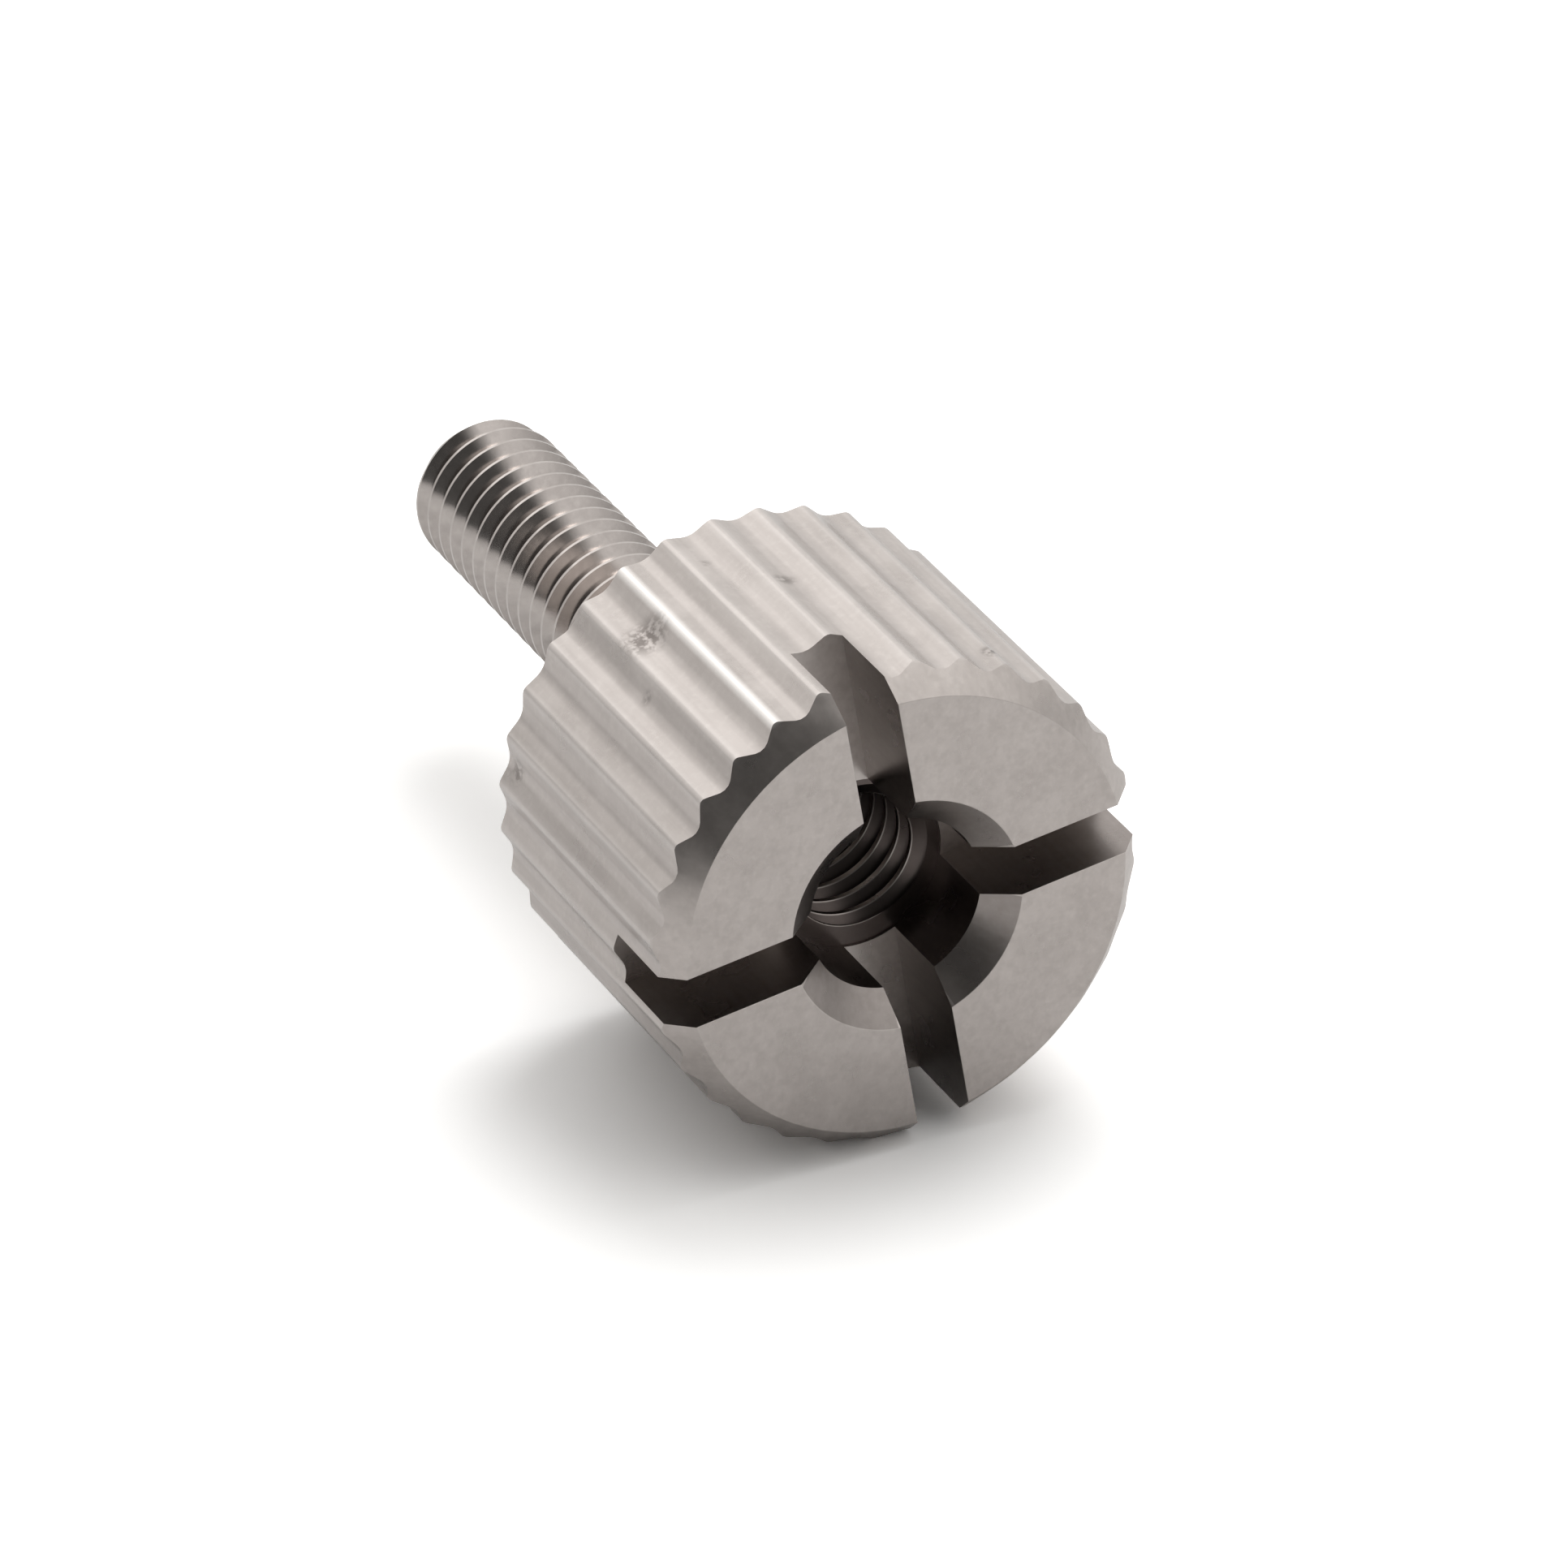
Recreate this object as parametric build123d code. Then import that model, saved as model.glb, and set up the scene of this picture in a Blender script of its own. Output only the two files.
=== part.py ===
from build123d import *
import math
import os

# A thumb screw, turned from one bar: a ribbed round head with two crossed
# driver slots and a tapped hole in its front face, and a threaded stud behind.
#
# Units: millimetres and degrees.
# Axes: +X runs along the screw's axis, out of the head's front face. +Z is up
# while the screw lies on two of its ribs.
# Origin: the middle of the head's bearing face, where the stud leaves it.

# Head
head_diameter = 18.8
head_length = 13.5
front_chamfer_length = 1.1
front_chamfer_width = 0.95

# Ribs: straight V-shaped grooves, milled along the head
rib_count = 32
rib_height = 0.3
crest_width = 0.06
valley_width = 0.25

# Driver slots: two, crossing on the axis
slot_width = 2.0
slot_depth = 4.1
slot_turn = 8.5

# Thread of the stud and of the hole: its nominal diameter and pitch
thread_diameter = 6.0
thread_pitch = 1.0

# Stud
stud_length = 22.5
stud_under_nominal = 0.15
tip_chamfer_length = 0.9
tip_chamfer_width = 0.6

# Socket in the front face: a countersunk clearance bore above the tapped hole
counterbore_clearance = 0.3
counterbore_depth = 4.2
countersink_width = 1.15
countersink_depth = 1.0

# Tapped hole, drilled to its tapping size
entry_chamfer = 0.12
drill_point_angle = 118.0
metal_behind_hole = 1.1

# Worked-out sizes
head_radius = head_diameter / 2
thread_radius = thread_diameter / 2
stud_radius = (thread_diameter - stud_under_nominal) / 2
tapping_radius = (thread_diameter - thread_pitch) / 2
counterbore_radius = thread_radius + counterbore_clearance
countersink_radius = counterbore_radius + countersink_width
counterbore_floor = head_length - counterbore_depth
drill_point_length = tapping_radius / math.tan(math.radians(drill_point_angle / 2))
hole_end = metal_behind_hole + drill_point_length

# The screw's cross-sections are drawn on this plane: local X is +Y, local Y is +Z
across_axis = Plane.YZ
cutter_reach = 1.0


def turned_blank():
    """The bar after turning: the head with its front chamfer, and the stud with its tip."""
    with BuildPart() as blank:
        with BuildSketch(Plane.XZ):
            with BuildLine():
                Polyline(
                    (-stud_length, 0),
                    (-stud_length, stud_radius - tip_chamfer_width),
                    (-stud_length + tip_chamfer_length, stud_radius),
                    (0, stud_radius),
                    (0, head_radius),
                    (head_length - front_chamfer_length, head_radius),
                    (head_length, head_radius - front_chamfer_width),
                    (head_length, 0),
                    close=True,
                )
            make_face()
        revolve(axis=Axis.X)
    return blank.part


def rib_grooves():
    """All the grooves between the ribs, each a straight V with a narrow flat at its bottom."""
    rib_angle = 2 * math.pi / rib_count
    crest_angle = crest_width / head_radius
    mouth_angle = (rib_angle - crest_angle) / 2
    mouth_x = head_radius * math.cos(mouth_angle)
    mouth_y = head_radius * math.sin(mouth_angle)
    floor_x = head_radius - rib_height
    floor_y = valley_width / 2
    flank_slope = (mouth_y - floor_y) / (mouth_x - floor_x)
    outer_x = head_radius + cutter_reach
    outer_y = floor_y + flank_slope * (outer_x - floor_x)
    with BuildPart() as grooves:
        with BuildSketch(across_axis):
            with PolarLocations(0, rib_count):
                Polygon(
                    (floor_x, -floor_y),
                    (outer_x, -outer_y),
                    (outer_x, outer_y),
                    (floor_x, floor_y),
                    align=None,
                )
        extrude(amount=head_length)
    return grooves.part


def driver_slots():
    """The two crossed slots, open through the head's side."""
    slot_run = head_diameter + 2 * cutter_reach
    with BuildPart() as slots:
        with BuildSketch(across_axis.offset(head_length - slot_depth)):
            with PolarLocations(0, 2, start_angle=slot_turn, angular_range=180):
                Rectangle(slot_run, slot_width)
        extrude(amount=slot_depth)
    return slots.part


def front_socket():
    """The countersink, the clearance bore and the tapped hole with its drill point."""
    with BuildPart() as socket:
        with BuildSketch(Plane.XZ):
            with BuildLine():
                Polyline(
                    (metal_behind_hole, 0),
                    (hole_end, tapping_radius),
                    (counterbore_floor - entry_chamfer, tapping_radius),
                    (counterbore_floor, tapping_radius + entry_chamfer),
                    (counterbore_floor, counterbore_radius),
                    (head_length - countersink_depth, counterbore_radius),
                    (head_length, countersink_radius),
                    (head_length, 0),
                    close=True,
                )
            make_face()
        revolve(axis=Axis.X)
    return socket.part


def thumb_screw():
    """The finished screw as one solid."""
    screw = turned_blank() - rib_grooves() - driver_slots() - front_socket()
    screw.label = "thumb_screw"
    return screw


os.makedirs("parts", exist_ok=True)
screw = thumb_screw()
export_step(screw, "parts/thumb_screw.step")
print("hole wall length", round(counterbore_floor - entry_chamfer - hole_end, 3))
print("lowest point", round(screw.bounding_box().min.Z, 4))
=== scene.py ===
import math

import bmesh
import bpy
from mathutils import Matrix, Vector


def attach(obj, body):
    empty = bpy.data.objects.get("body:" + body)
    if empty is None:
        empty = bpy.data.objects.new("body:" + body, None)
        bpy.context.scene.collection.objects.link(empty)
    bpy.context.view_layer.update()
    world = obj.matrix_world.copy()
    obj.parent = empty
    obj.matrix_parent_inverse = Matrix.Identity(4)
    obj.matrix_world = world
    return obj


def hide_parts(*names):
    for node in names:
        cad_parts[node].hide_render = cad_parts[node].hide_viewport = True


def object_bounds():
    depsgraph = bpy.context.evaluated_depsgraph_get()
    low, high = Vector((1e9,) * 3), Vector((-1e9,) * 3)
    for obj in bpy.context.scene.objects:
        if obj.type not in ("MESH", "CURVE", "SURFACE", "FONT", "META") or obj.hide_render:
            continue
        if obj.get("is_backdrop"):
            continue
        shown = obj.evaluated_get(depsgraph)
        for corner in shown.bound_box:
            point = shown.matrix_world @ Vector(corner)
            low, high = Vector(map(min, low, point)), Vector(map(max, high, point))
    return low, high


# A thumb screw of tumbled stainless steel, lying on two of its ribs.
# The screw's axis is X and its bearing face is at X = 0. The head reaches
# forward, to +X, and the stud back, to -X. Lengths in the script are metres,
# written as a number of millimetres times MM.

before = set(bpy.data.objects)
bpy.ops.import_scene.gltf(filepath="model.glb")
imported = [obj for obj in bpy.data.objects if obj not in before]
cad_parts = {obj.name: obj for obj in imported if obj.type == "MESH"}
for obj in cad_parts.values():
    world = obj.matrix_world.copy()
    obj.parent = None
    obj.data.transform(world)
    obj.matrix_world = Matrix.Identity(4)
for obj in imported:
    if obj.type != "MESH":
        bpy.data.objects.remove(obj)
cad_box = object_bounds()

MM = 0.001
TURN = 2 * math.pi

# Head
HEAD_RADIUS = 9.4 * MM
HEAD_LENGTH = cad_box[1].x
FRONT_RADIUS = 8.45 * MM
CHAMFER_LENGTH = 1.1 * MM
RIBS = 32
RIB_HEIGHT = 0.3 * MM
FLANK_ANGLE = math.radians(22.5)
CREST_ROUNDING = 0.16 * MM
VALLEY_ROUNDING = 0.30 * MM

# Driver slots
SLOT_HALF_WIDTH = 1.0 * MM
SLOT_FLOOR = HEAD_LENGTH - 4.1 * MM
SLOT_TURN = math.radians(8.5)
EDGE_BREAK = 0.05 * MM

# Socket in the front face
COUNTERSINK_RADIUS = 4.45 * MM
COUNTERSINK_DEPTH = 1.0 * MM
BORE_RADIUS = 3.3 * MM
BORE_FLOOR = HEAD_LENGTH - 4.2 * MM

# Thread, right-handed
PITCH = 1.0 * MM
THREAD_RADIUS = 2.925 * MM
STUD_ROOT_RADIUS = 2.36 * MM
STUD_END = cad_box[0].x
TIP_LENGTH = 0.9 * MM
TIP_RADIUS = 2.325 * MM
STUD_PHASE = math.pi
HOLE_RADIUS = 2.5 * MM
HOLE_ROOT_RADIUS = 3.03 * MM
HOLE_END = 2.6 * MM
HOLE_TIP = 1.1 * MM
HOLE_PHASE = 0.0
HOLE_FADE = 2 * PITCH
DRILL_POINT_RADIUS = 0.01 * MM
STEPS_PER_TURN = 72

# Painted shade on recessed faces, darker the deeper they lie: 0 is open, and 1 is never reached
PAINTED_SHADE_IN_HOLE = 0.88
PAINTED_SHADE_IN_BORE = 0.72
PAINTED_SHADE_ON_SLOT_WALL = 0.5
PAINTED_SHADE_IN_COUNTERSINK = 0.45

# The rib crest with the brightest painted highlight, and dark smudges on the ribs. Angles are
# in degrees and turn from +Y towards +Z. A smudge is its place along the axis, its angle and
# how far it reaches.
HIGHLIGHT_CREST = 118.1
SMUDGES = (
    (3.7 * MM, 124.5, 1.3 * MM),
    (6.1 * MM, 134.0, 0.5 * MM),
    (4.9 * MM, 92.0, 0.6 * MM),
    (2.1 * MM, 103.0, 0.4 * MM),
    (11.4 * MM, 62.5, 0.5 * MM),
    (0.8 * MM, 169.0, 0.7 * MM),
)

# Room light. Sides are an azimuth from +X towards +Y and an elevation, in degrees.
WALL_LIGHT = 0.5
REAR_SIDE = (155, 0)
REAR_LIGHT = 0.9
CEILING_LIGHT = 1.12
UNLIT_LIGHT = 0.09
UNLIT_SIDE = (-48, 20)
UNLIT_EDGE = (0.38, 0.66)
FLOOR_GAIN = 1.35
SOFTBOX_DISTANCE = 0.6
OVERHEAD_SIDE = (125, 64)
OVERHEAD_SIZE = 0.34
OVERHEAD_RADIANCE = 3.6
REAR_SOFTBOX_SIDE = (182, 33)
REAR_SOFTBOX_SIZE = 0.3
REAR_SOFTBOX_RADIANCE = 0.4

TINY = 1e-7


def radius_of(point):
    return math.hypot(point.y, point.z)


def put_at(vert, x, radius):
    """Moves a vertex along the axis and to a new radius, and keeps its angle."""
    scale = radius / radius_of(vert.co)
    vert.co = (x, vert.co.y * scale, vert.co.z * scale)


def new_verts(result):
    return [g for g in result["geom"] if isinstance(g, bmesh.types.BMVert)]


def new_edges(result):
    return [g for g in result["geom"] if isinstance(g, bmesh.types.BMEdge)]


def carry_on(bm, edges, place):
    """Extrudes a ring of edges and puts each new vertex where place says."""
    result = bmesh.ops.extrude_edge_only(bm, edges=edges)
    for vert in new_verts(result):
        place(vert)
    return new_edges(result)


def open_edges_at(bm, x):
    """The open edges that lie in the plane across the axis at x."""
    return [
        e for e in bm.edges
        if len(e.link_faces) < 2 and all(abs(v.co.x - x) < TINY for v in e.verts)
    ]


def rib_outline(bm):
    """The closed outline of the ribs at the bearing face, with rounded crests and valleys."""
    to_axis = Matrix.Rotation(math.radians(90), 3, "Y")
    bmesh.ops.create_circle(bm, cap_ends=True, segments=2 * RIBS, radius=HEAD_RADIUS)
    bmesh.ops.rotate(bm, verts=bm.verts[:], cent=(0, 0, 0), matrix=to_axis)
    rounding_cut = math.tan(FLANK_ANGLE / 2)
    crests = []
    valleys = []
    for vert in bm.verts:
        place = round(math.atan2(vert.co.z, vert.co.y) / TURN * 2 * RIBS)
        if place % 2:
            put_at(vert, 0, HEAD_RADIUS + CREST_ROUNDING * rounding_cut)
            crests.append(vert)
        else:
            put_at(vert, 0, HEAD_RADIUS - RIB_HEIGHT - VALLEY_ROUNDING * rounding_cut)
            valleys.append(vert)
    for corners, rounding, segments in ((crests, CREST_ROUNDING, 4), (valleys, VALLEY_ROUNDING, 3)):
        bmesh.ops.bevel(
            bm, geom=corners, offset=rounding, offset_type="OFFSET", segments=segments,
            profile=0.5, affect="VERTICES", clamp_overlap=True, material=-1,
        )
    bmesh.ops.delete(bm, geom=bm.faces[:], context="FACES_ONLY")
    return bm.edges[:]


def head_shell(bm):
    """The ribbed side, front chamfer, front face, countersink and clearance bore."""
    chamfer_width = HEAD_RADIUS - FRONT_RADIUS
    chamfer_start = HEAD_LENGTH - CHAMFER_LENGTH

    def onto_chamfer(vert):
        radius = radius_of(vert.co)
        below_crest = max(0.0, HEAD_RADIUS - radius)
        put_at(vert, chamfer_start + below_crest / chamfer_width * CHAMFER_LENGTH, radius)

    ring = rib_outline(bm)
    ring = carry_on(bm, ring, onto_chamfer)
    ring = carry_on(bm, ring, lambda v: put_at(v, HEAD_LENGTH, FRONT_RADIUS))
    ring = carry_on(bm, ring, lambda v: put_at(v, HEAD_LENGTH, COUNTERSINK_RADIUS))
    ring = carry_on(bm, ring, lambda v: put_at(v, HEAD_LENGTH - COUNTERSINK_DEPTH, BORE_RADIUS))
    carry_on(bm, ring, lambda v: put_at(v, BORE_FLOOR, BORE_RADIUS))


def cut_slots(bm):
    """Two crossed slots: cuts the shell along their walls and floor and closes them."""
    runs = []
    for arm in range(4):
        angle = SLOT_TURN + arm * TURN / 4
        along = Vector((0, math.cos(angle), math.sin(angle)))
        across = Vector((0, -math.sin(angle), math.cos(angle)))
        runs.append((along, across))

    def split(point, normal):
        everything = bm.verts[:] + bm.edges[:] + bm.faces[:]
        bmesh.ops.bisect_plane(bm, geom=everything, dist=TINY, plane_co=point, plane_no=normal)

    for along, across in runs:
        split(across * SLOT_HALF_WIDTH, across)
    split(Vector((SLOT_FLOOR, 0, 0)), Vector((1, 0, 0)))

    def in_slot(face):
        middle = face.calc_center_median()
        above_floor = middle.x > SLOT_FLOOR + TINY
        return above_floor and any(
            abs(middle.dot(across)) < SLOT_HALF_WIDTH - TINY and middle.dot(along) > 0
            for along, across in runs
        )

    bmesh.ops.delete(bm, geom=[f for f in bm.faces if in_slot(f)], context="FACES")

    for along, across in runs:
        floor_edges = []
        for side in (1, -1):
            wall_at = side * SLOT_HALF_WIDTH
            on_wall = [
                v for v in bm.verts
                if abs(v.co.dot(across) - wall_at) < TINY
                and v.co.dot(along) > 0
                and v.co.x > SLOT_FLOOR - TINY
                and any(e.is_boundary for e in v.link_edges)
            ]
            corners = sorted(
                (v for v in on_wall if abs(v.co.x - SLOT_FLOOR) < TINY), key=lambda v: radius_of(v.co)
            )
            floor_edge = bm.edges.new((corners[0], corners[-1]))
            wall_edges = [
                e for e in bm.edges
                if e.is_boundary and e.verts[0] in on_wall and e.verts[1] in on_wall
            ]
            bmesh.ops.contextual_create(bm, geom=wall_edges + [floor_edge], mat_nr=0)
            floor_edges.append(floor_edge)
        rim_edges = [
            e for e in bm.edges
            if e.is_boundary and e not in floor_edges
            and all(
                abs(v.co.x - SLOT_FLOOR) < TINY
                and abs(v.co.dot(across)) < SLOT_HALF_WIDTH + TINY
                and v.co.dot(along) > 0
                for v in e.verts
            )
        ]
        bmesh.ops.contextual_create(bm, geom=rim_edges + floor_edges, mat_nr=0)


def break_slot_edges(bm):
    """A small bevel where the slots and the countersink meet the front face."""
    flat_angle = math.radians(0.5)
    bmesh.ops.dissolve_limit(
        bm, angle_limit=flat_angle, verts=bm.verts[:], edges=bm.edges[:], use_dissolve_boundaries=False
    )
    sharp_angle = math.radians(25)

    def on_front(edge):
        return (
            all(v.co.x > HEAD_LENGTH - TINY for v in edge.verts)
            and len(edge.link_faces) == 2
            and edge.calc_face_angle() > sharp_angle
        )

    bmesh.ops.bevel(
        bm, geom=[e for e in bm.edges if on_front(e)], offset=EDGE_BREAK, offset_type="OFFSET",
        segments=2, profile=0.5, affect="EDGES", clamp_overlap=True, material=-1,
    )


def thread_tube(low, high, root, crest, crest_flat, root_flat, phase):
    """A helical thread as a tube from x = low to x = high, open at both ends."""
    points = (
        (-PITCH / 2, root),
        (-PITCH / 2 + root_flat / 2, root),
        (-crest_flat / 2, crest),
        (crest_flat / 2, crest),
        (PITCH / 2 - root_flat / 2, root),
        (PITCH / 2, root),
    )
    thread = bmesh.new()
    start = low - 2 * PITCH
    verts = [thread.verts.new((start + x, radius, 0)) for x, radius in points]
    edges = [thread.edges.new(pair) for pair in zip(verts, verts[1:])]
    bmesh.ops.rotate(thread, verts=verts, cent=(0, 0, 0), matrix=Matrix.Rotation(phase, 3, "X"))
    bmesh.ops.spin(
        thread, geom=verts + edges, cent=(0, 0, 0), axis=(1, 0, 0), dvec=(PITCH / STEPS_PER_TURN, 0, 0),
        angle=TURN, steps=STEPS_PER_TURN, use_merge=False, use_normal_flip=False, use_duplicate=False,
    )
    one_turn = thread.verts[:] + thread.edges[:] + thread.faces[:]
    for turn in range(1, math.ceil((high - low) / PITCH) + 4):
        copy = bmesh.ops.duplicate(thread, geom=one_turn)
        bmesh.ops.translate(thread, verts=new_verts(copy), vec=(turn * PITCH, 0, 0))
    bmesh.ops.remove_doubles(thread, verts=thread.verts[:], dist=TINY)
    for cut, outward in ((low, (-1, 0, 0)), (high, (1, 0, 0))):
        bmesh.ops.bisect_plane(
            thread, geom=thread.verts[:] + thread.edges[:] + thread.faces[:], dist=TINY,
            plane_co=(cut, 0, 0), plane_no=outward, clear_outer=True,
        )
    return thread


def add_to(bm, part):
    """Adds one bmesh to another."""
    mesh = bpy.data.meshes.new("part")
    part.to_mesh(mesh)
    part.free()
    bm.from_mesh(mesh)
    bpy.data.meshes.remove(mesh)


def threaded_stud(bm):
    """The stud's thread, turned down to a chamfer at its tip."""
    stud = thread_tube(
        STUD_END, 0.0, STUD_ROOT_RADIUS, THREAD_RADIUS, PITCH / 8, PITCH / 5, STUD_PHASE
    )
    tip_slope = (THREAD_RADIUS - TIP_RADIUS) / TIP_LENGTH
    for vert in stud.verts:
        limit = TIP_RADIUS + tip_slope * (vert.co.x - STUD_END)
        if radius_of(vert.co) > limit:
            put_at(vert, vert.co.x, limit)
    bmesh.ops.edgeloop_fill(stud, edges=open_edges_at(stud, STUD_END), mat_nr=0)
    add_to(bm, stud)


def threaded_hole(bm):
    """The tapped hole: its thread fades out above the drill point."""
    hole = thread_tube(
        HOLE_END, BORE_FLOOR, HOLE_ROOT_RADIUS, HOLE_RADIUS, PITCH / 5, PITCH / 8, HOLE_PHASE
    )
    for vert in hole.verts:
        share = min(1.0, (vert.co.x - HOLE_END) / HOLE_FADE)
        depth = radius_of(vert.co) - HOLE_RADIUS
        put_at(vert, vert.co.x, HOLE_RADIUS + depth * share)
    drilled = carry_on(
        hole, open_edges_at(hole, HOLE_END), lambda v: put_at(v, HOLE_TIP, DRILL_POINT_RADIUS)
    )
    bmesh.ops.edgeloop_fill(hole, edges=drilled, mat_nr=0)
    add_to(bm, hole)


def mark_recesses(bm):
    """Marks on each face the painted shade it gets: the slot walls, the countersink, the bore and, darkest,
    the tapped hole.
    """
    recess_shade = bm.faces.layers.float.new("recess_shade")
    for face in bm.faces:
        middle = face.calc_center_median()
        radius = radius_of(middle)
        inside = 0.1 * MM < middle.x < HEAD_LENGTH - 0.15 * MM
        in_bore = inside and radius < BORE_RADIUS + TINY and middle.x < HEAD_LENGTH - COUNTERSINK_DEPTH
        in_head = inside and radius < FRONT_RADIUS - 0.1 * MM
        if in_bore:
            face[recess_shade] = PAINTED_SHADE_IN_BORE if middle.x > BORE_FLOOR + TINY else PAINTED_SHADE_IN_HOLE
        elif in_head and abs(face.normal.x) < 0.01:
            face[recess_shade] = PAINTED_SHADE_ON_SLOT_WALL
        elif in_head and face.normal.x < 0.99:
            face[recess_shade] = PAINTED_SHADE_IN_COUNTERSINK


def join_flat(bm, x):
    """Fills the flat ring between the outer and the inner outline at x."""
    bmesh.ops.triangle_fill(
        bm, edges=open_edges_at(bm, x), use_beauty=True, use_dissolve=False, normal=(1, 0, 0)
    )


def thumb_screw():
    """The whole screw as one closed mesh."""
    bm = bmesh.new()
    head_shell(bm)
    cut_slots(bm)
    break_slot_edges(bm)
    threaded_stud(bm)
    threaded_hole(bm)
    join_flat(bm, 0.0)
    join_flat(bm, BORE_FLOOR)
    bmesh.ops.recalc_face_normals(bm, faces=bm.faces[:])
    mark_recesses(bm)
    mesh = bpy.data.meshes.new("thumb_screw_body")
    bm.to_mesh(mesh)
    bm.free()
    mesh.shade_smooth()
    mesh.set_sharp_from_angle(angle=math.radians(28))
    piece = bpy.data.objects.new("thumb_screw_body", mesh)
    bpy.context.scene.collection.objects.link(piece)
    weighted = piece.modifiers.new("even shading", "WEIGHTED_NORMAL")
    weighted.keep_sharp = True
    return piece


def at_angle(degrees):
    """A unit vector across the screw's axis; the angle turns from +Y towards +Z."""
    return (0.0, math.cos(math.radians(degrees)), math.sin(math.radians(degrees)))


def linear(hex_colour):
    """An sRGB hex colour as linear red, green, blue and alpha."""
    channels = [int(hex_colour[i:i + 2], 16) / 255 for i in (1, 3, 5)]
    return [c / 12.92 if c <= 0.04045 else ((c + 0.055) / 1.055) ** 2.4 for c in channels] + [1.0]


def add(tree, kind, settings, inputs):
    """Adds a node. Settings are its properties; inputs are values or sockets to link."""
    node = tree.nodes.new(kind)
    for name, value in settings.items():
        setattr(node, name, value)
    for name, value in inputs.items():
        if isinstance(value, bpy.types.NodeSocket):
            tree.links.new(value, node.inputs[name])
        else:
            node.inputs[name].default_value = value
    return node


def fresh_material(name):
    material = bpy.data.materials.new(name)
    material.use_nodes = True
    material.node_tree.nodes.clear()
    return material, material.node_tree


# Settings used by several nodes. A smooth range takes value, from, from, to, to.
# A colour mix takes its share in input 0 and its colours in 6 and 7, and gives output 2.
SMOOTH = {"interpolation_type": "SMOOTHSTEP"}
COLOURS = {"data_type": "RGBA"}


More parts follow.
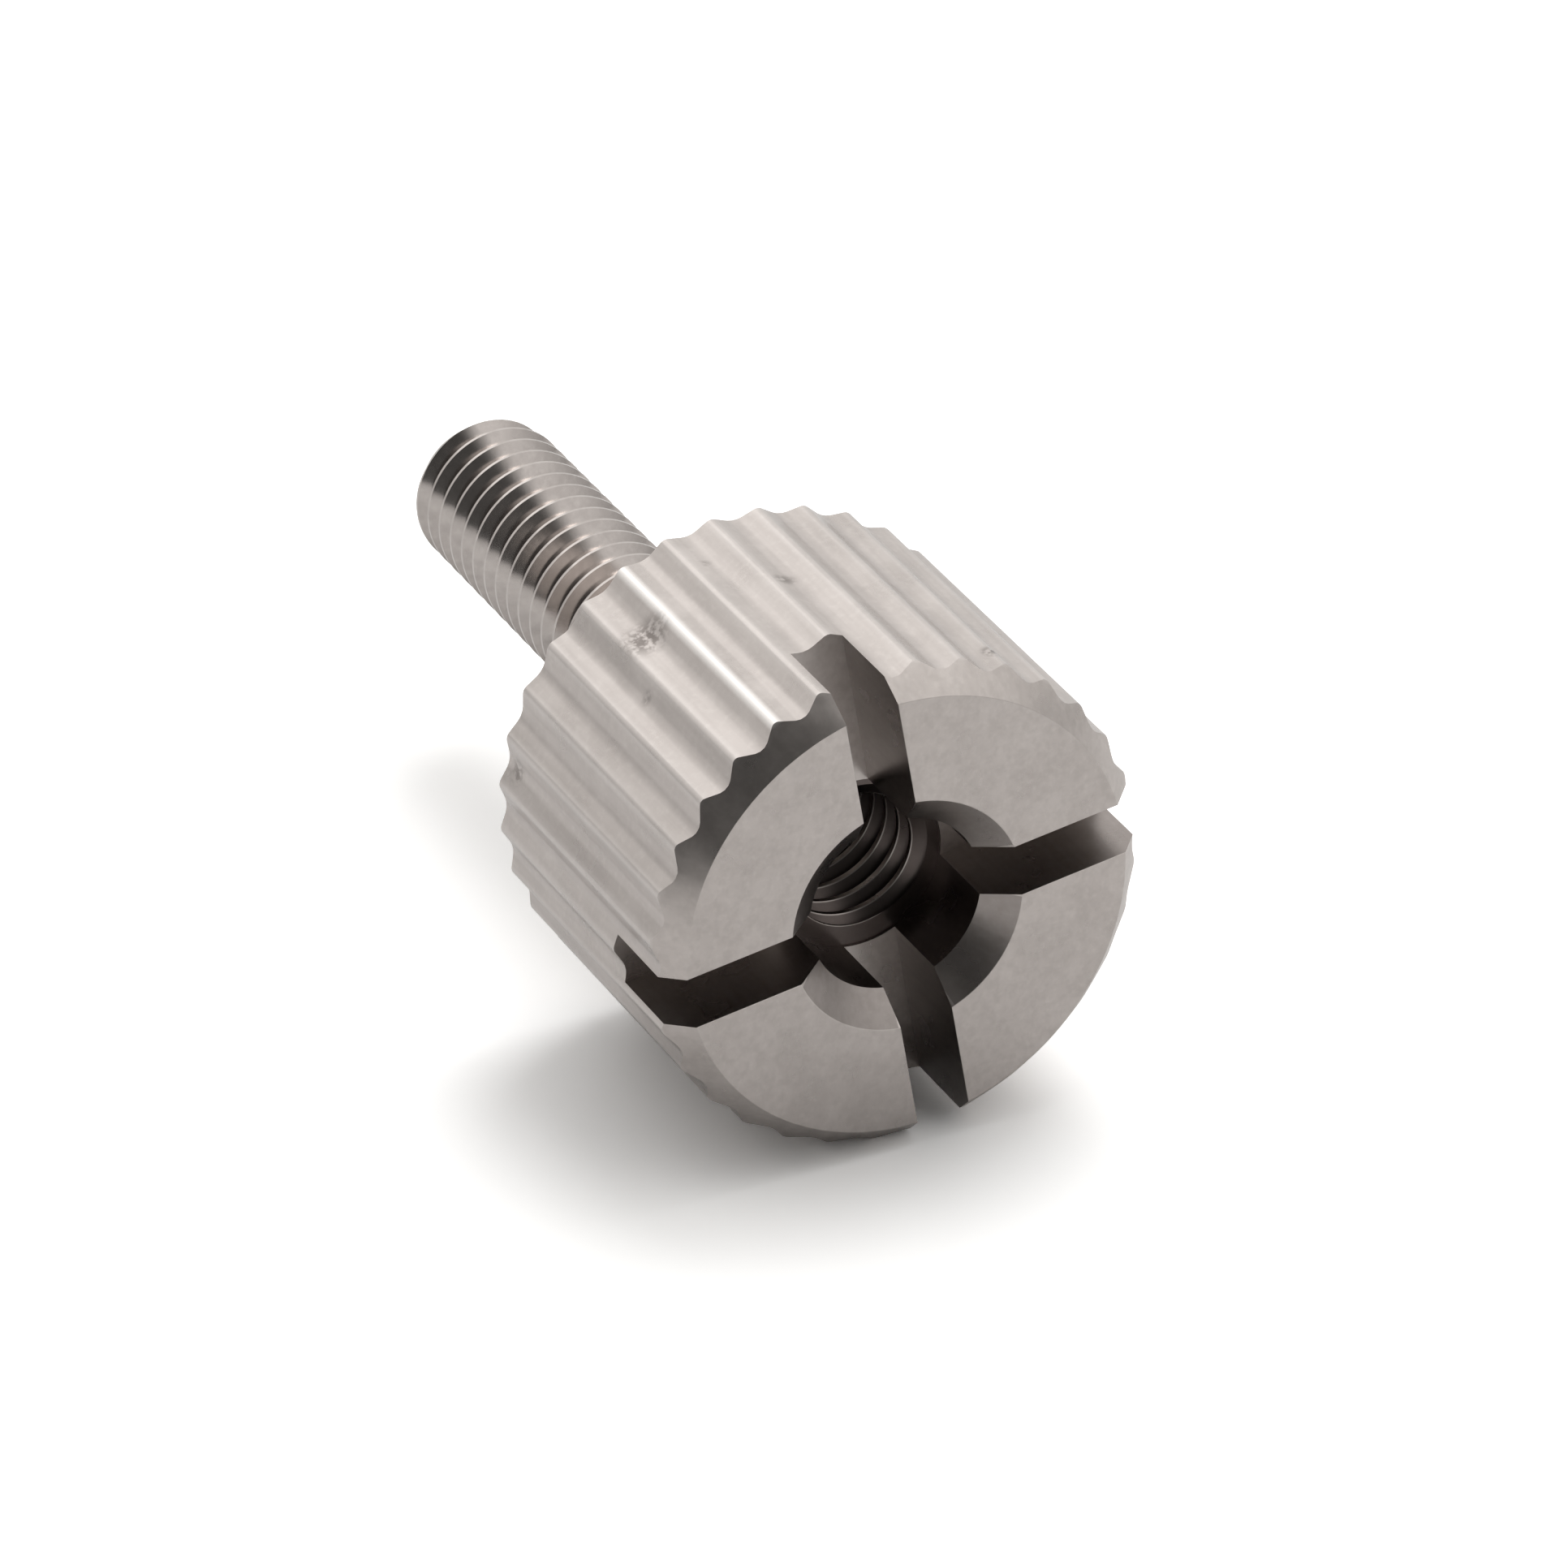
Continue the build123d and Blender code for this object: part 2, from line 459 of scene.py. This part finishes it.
def tumbled_stainless():
    """Turned stainless steel, tumbled in ceramic media. The eye sees a soft satin with faint
    mottling, fine scuffs and a few dark smudges. Painted highlights run along the rib crests,
    brightest on one, and on the crest of the tapped thread; painted shade darkens the slots,
    countersink, bore and tapped hole, deepest in the hole."""
    material, tree = fresh_material("tumbled_stainless_steel")
    place = add(tree, "ShaderNodeTexCoord", {}, {}).outputs["Object"]
    split = add(tree, "ShaderNodeSeparateXYZ", {}, {0: place})
    side = add(tree, "ShaderNodeCombineXYZ", {}, {1: split.outputs[1], 2: split.outputs[2]}).outputs[0]
    radius = add(tree, "ShaderNodeVectorMath", {"operation": "LENGTH"}, {0: side}).outputs["Value"]
    # The painted shade of each recessed face, as marked by mark_recesses.
    recess_shade = add(tree, "ShaderNodeAttribute", {"attribute_name": "recess_shade"}, {}).outputs["Fac"]

    # Mottling about 1.6 mm across, scuffs 0.25 mm, and rolling streaks drawn out along the ribs.
    mottling = add(tree, "ShaderNodeTexNoise", {}, {"Vector": place, "Scale": 0.6 / MM, "Detail": 3.0})
    scuffs = add(tree, "ShaderNodeTexNoise", {}, {"Vector": place, "Scale": 4.0 / MM, "Detail": 4.0})
    drawn_out = add(
        tree, "ShaderNodeVectorMath", {"operation": "MULTIPLY"}, {0: place, 1: (0.06, 1.0, 1.0)}
    )
    streaks = add(
        tree, "ShaderNodeTexNoise", {}, {"Vector": drawn_out.outputs[0], "Scale": 3.0 / MM, "Detail": 2.0}
    )

    share = add(tree, "ShaderNodeMapRange", SMOOTH, {0: mottling.outputs["Fac"], 1: 0.3, 2: 0.7})
    steel = add(
        tree, "ShaderNodeMix", COLOURS, {0: share.outputs[0], 6: linear("#b9b2ae"), 7: linear("#c1bab6")}
    )
    share = add(
        tree, "ShaderNodeMapRange", SMOOTH, {0: streaks.outputs["Fac"], 1: 0.35, 2: 0.75, 3: 0.0, 4: 0.3}
    )
    steel = add(
        tree, "ShaderNodeMix", COLOURS, {0: share.outputs[0], 6: steel.outputs[2], 7: linear("#a39c98")}
    )
    share = add(
        tree, "ShaderNodeMapRange", SMOOTH, {0: scuffs.outputs["Fac"], 1: 0.45, 2: 0.75, 3: 0.0, 4: 0.15}
    )
    steel = add(
        tree, "ShaderNodeMix", COLOURS, {0: share.outputs[0], 6: steel.outputs[2], 7: linear("#dcd6d1")}
    )

    # Painted highlight along the crests of the ribs, brightest on one crest.
    around = add(tree, "ShaderNodeVectorMath", {"operation": "NORMALIZE"}, {0: side}).outputs[0]
    toward_highlight = add(
        tree, "ShaderNodeVectorMath", {"operation": "DOT_PRODUCT"}, {0: around, 1: at_angle(HIGHLIGHT_CREST)}
    )
    amount = add(
        tree, "ShaderNodeMapRange", SMOOTH,
        {0: toward_highlight.outputs["Value"], 1: 0.9975, 2: 0.9990, 3: 0.12, 4: 0.75},
    )
    crest = add(
        tree, "ShaderNodeMapRange", SMOOTH,
        {0: radius, 1: HEAD_RADIUS - 0.12 * MM, 2: HEAD_RADIUS - 0.02 * MM, 3: 0.0, 4: amount.outputs[0]},
    )
    steel = add(
        tree, "ShaderNodeMix", COLOURS, {0: crest.outputs[0], 6: steel.outputs[2], 7: linear("#f6f2ef")}
    )

    # Smudges: each is a blotch of scuff-sized dirt round one point on the ribs.
    for x, angle, reach in SMUDGES:
        _, across, up = at_angle(angle)
        middle = (x, HEAD_RADIUS * across, HEAD_RADIUS * up)
        away = add(tree, "ShaderNodeVectorMath", {"operation": "DISTANCE"}, {0: place, 1: middle})
        near = add(
            tree, "ShaderNodeMapRange", SMOOTH,
            {0: away.outputs["Value"], 1: reach, 2: 0.2 * reach, 3: 0.0, 4: 0.75},
        )
        dirt = add(
            tree, "ShaderNodeMapRange", SMOOTH,
            {0: scuffs.outputs["Fac"], 1: 0.38, 2: 0.58, 3: 0.0, 4: near.outputs[0]},
        )
        steel = add(
            tree, "ShaderNodeMix", COLOURS, {0: dirt.outputs[0], 6: steel.outputs[2], 7: linear("#5f5753")}
        )

    # Painted shade in the recesses, darkest in the tapped hole, and a painted highlight on the crest of the
    # tapped thread.
    steel = add(tree, "ShaderNodeMix", COLOURS, {0: recess_shade, 6: steel.outputs[2], 7: linear("#4a403d")})
    # Painted highlight on the crest of the tapped thread, where the painted shade is deepest.
    amount = add(tree, "ShaderNodeMapRange", SMOOTH, {0: recess_shade, 1: 0.75, 2: 0.85, 3: 0.0, 4: 0.6})
    crest = add(
        tree, "ShaderNodeMapRange", SMOOTH,
        {0: radius, 1: HOLE_RADIUS + 0.05 * MM, 2: HOLE_RADIUS + 0.01 * MM, 3: 0.0, 4: amount.outputs[0]},
    )
    steel = add(
        tree, "ShaderNodeMix", COLOURS, {0: crest.outputs[0], 6: steel.outputs[2], 7: linear("#d8d0ca")}
    )

    # The cut thread of the stud is glossier than the tumbled head.
    satin = add(
        tree, "ShaderNodeMapRange", SMOOTH, {0: mottling.outputs["Fac"], 1: 0.3, 2: 0.7, 3: 0.27, 4: 0.32}
    )
    finish = add(
        tree, "ShaderNodeMapRange", {},
        {0: split.outputs[0], 1: -0.02 * MM, 2: 0.02 * MM, 3: 0.15, 4: satin.outputs[0]},
    )
    relief = add(
        tree, "ShaderNodeMix", {}, {0: 0.5, 2: scuffs.outputs["Fac"], 3: streaks.outputs["Fac"]}
    )
    bump = add(
        tree, "ShaderNodeBump", {}, {"Strength": 0.12, "Distance": 0.004 * MM, "Height": relief.outputs[0]}
    )
    surface = add(
        tree, "ShaderNodeBsdfPrincipled", {},
        {
            "Base Color": steel.outputs[2], "Metallic": 1.0, "Roughness": finish.outputs[0],
            "Normal": bump.outputs["Normal"],
        },
    )
    add(tree, "ShaderNodeOutputMaterial", {}, {"Surface": surface.outputs["BSDF"]})
    return material


def floor_material():
    """White paper. The camera sees it brighter than it lights the screw, so that the
    background comes out white and the shadow stays."""
    material, tree = fresh_material("white_paper")
    rays = add(tree, "ShaderNodeLightPath", {}, {})
    lit = add(tree, "ShaderNodeBsdfDiffuse", {}, {"Color": linear("#e8e8e8")})
    seen = add(tree, "ShaderNodeBsdfDiffuse", {}, {"Color": (FLOOR_GAIN, FLOOR_GAIN, FLOOR_GAIN, 1.0)})
    paper = add(
        tree, "ShaderNodeMixShader", {},
        {0: rays.outputs["Is Camera Ray"], 1: lit.outputs["BSDF"], 2: seen.outputs["BSDF"]},
    )
    add(tree, "ShaderNodeOutputMaterial", {}, {"Surface": paper.outputs["Shader"]})
    return material


def floor(height):
    bm = bmesh.new()
    bmesh.ops.create_grid(bm, x_segments=1, y_segments=1, size=3.0)
    bmesh.ops.translate(bm, verts=bm.verts[:], vec=(0, 0, height))
    mesh = bpy.data.meshes.new("floor")
    bm.to_mesh(mesh)
    bm.free()
    sheet = bpy.data.objects.new("floor", mesh)
    bpy.context.scene.collection.objects.link(sheet)
    sheet.data.materials.append(floor_material())
    sheet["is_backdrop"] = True


def direction(azimuth, elevation):
    """A unit vector; azimuth turns from +X towards +Y, both in degrees."""
    a = math.radians(azimuth)
    e = math.radians(elevation)
    return Vector((math.cos(a) * math.cos(e), math.sin(a) * math.cos(e), math.sin(e)))


def room_light():
    """A pale room: brightest overhead and behind the screw, and unlit behind the viewer."""
    world = bpy.data.worlds.new("room")
    world.use_nodes = True
    bpy.context.scene.world = world
    tree = world.node_tree
    tree.nodes.clear()
    place = add(tree, "ShaderNodeTexCoord", {}, {}).outputs["Generated"]
    split = add(tree, "ShaderNodeSeparateXYZ", {}, {0: place})
    rear = add(
        tree, "ShaderNodeVectorMath", {"operation": "DOT_PRODUCT"}, {0: place, 1: direction(*REAR_SIDE)}
    )
    walls = add(
        tree, "ShaderNodeMapRange", SMOOTH,
        {0: rear.outputs["Value"], 1: 0.2, 2: 0.9, 3: WALL_LIGHT, 4: REAR_LIGHT},
    )
    room = add(
        tree, "ShaderNodeMapRange", {},
        {0: split.outputs[2], 1: 0.0, 2: 0.6, 3: walls.outputs[0], 4: CEILING_LIGHT},
    )
    front = add(
        tree, "ShaderNodeVectorMath", {"operation": "DOT_PRODUCT"}, {0: place, 1: direction(*UNLIT_SIDE)}
    )
    lit = add(
        tree, "ShaderNodeMapRange", SMOOTH,
        {0: front.outputs["Value"], 1: UNLIT_EDGE[0], 2: UNLIT_EDGE[1], 3: room.outputs[0], 4: UNLIT_LIGHT},
    )
    back = add(
        tree, "ShaderNodeBackground", {}, {"Color": linear("#fffefc"), "Strength": lit.outputs[0]}
    )
    add(tree, "ShaderNodeOutputWorld", {}, {"Surface": back.outputs["Background"]})


def softbox(name, side, size, radiance):
    """A square lamp facing the screw. An area lamp's radiance is its power over pi times its area."""
    lamp = bpy.data.lights.new(name, "AREA")
    lamp.shape = "SQUARE"
    lamp.size = size
    lamp.energy = radiance * math.pi * size * size
    box = bpy.data.objects.new(name, lamp)
    box.location = direction(*side) * SOFTBOX_DISTANCE
    box.rotation_euler = (-box.location).to_track_quat("-Z", "Y").to_euler()
    bpy.context.scene.collection.objects.link(box)


def set_camera():
    """A long lens above and in front of the head. The azimuth turns from -Y towards +X."""
    azimuth = math.radians(64.815)
    elevation = math.radians(29.805)
    roll = math.radians(-1.271)
    distance = 382.78 * MM
    aim = Vector((1.297, 1.105, -1.228)) * MM
    back = Vector((
        math.sin(azimuth) * math.cos(elevation),
        -math.cos(azimuth) * math.cos(elevation),
        math.sin(elevation),
    ))
    data = bpy.data.cameras.new("camera")
    data.sensor_width = 36.0
    data.lens = 247.26
    data.clip_start = 0.005
    data.clip_end = 20.0
    camera = bpy.data.objects.new("camera", data)
    camera.rotation_mode = "QUATERNION"
    camera.location = aim + back * distance
    level = (-back).to_track_quat("-Z", "Y")
    camera.rotation_quaternion = level @ Matrix.Rotation(roll, 3, "Z").to_quaternion()
    bpy.context.scene.collection.objects.link(camera)
    bpy.context.scene.camera = camera


screw = thumb_screw()
screw.data.materials.append(tumbled_stainless())
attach(screw, "root")
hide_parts("thumb_screw")

bpy.context.scene.view_settings.view_transform = "Standard"
set_camera()
bpy.context.view_layer.update()
floor(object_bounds()[0].z)
room_light()
softbox("overhead_softbox", OVERHEAD_SIDE, OVERHEAD_SIZE, OVERHEAD_RADIANCE)
softbox("rear_softbox", REAR_SOFTBOX_SIDE, REAR_SOFTBOX_SIZE, REAR_SOFTBOX_RADIANCE)
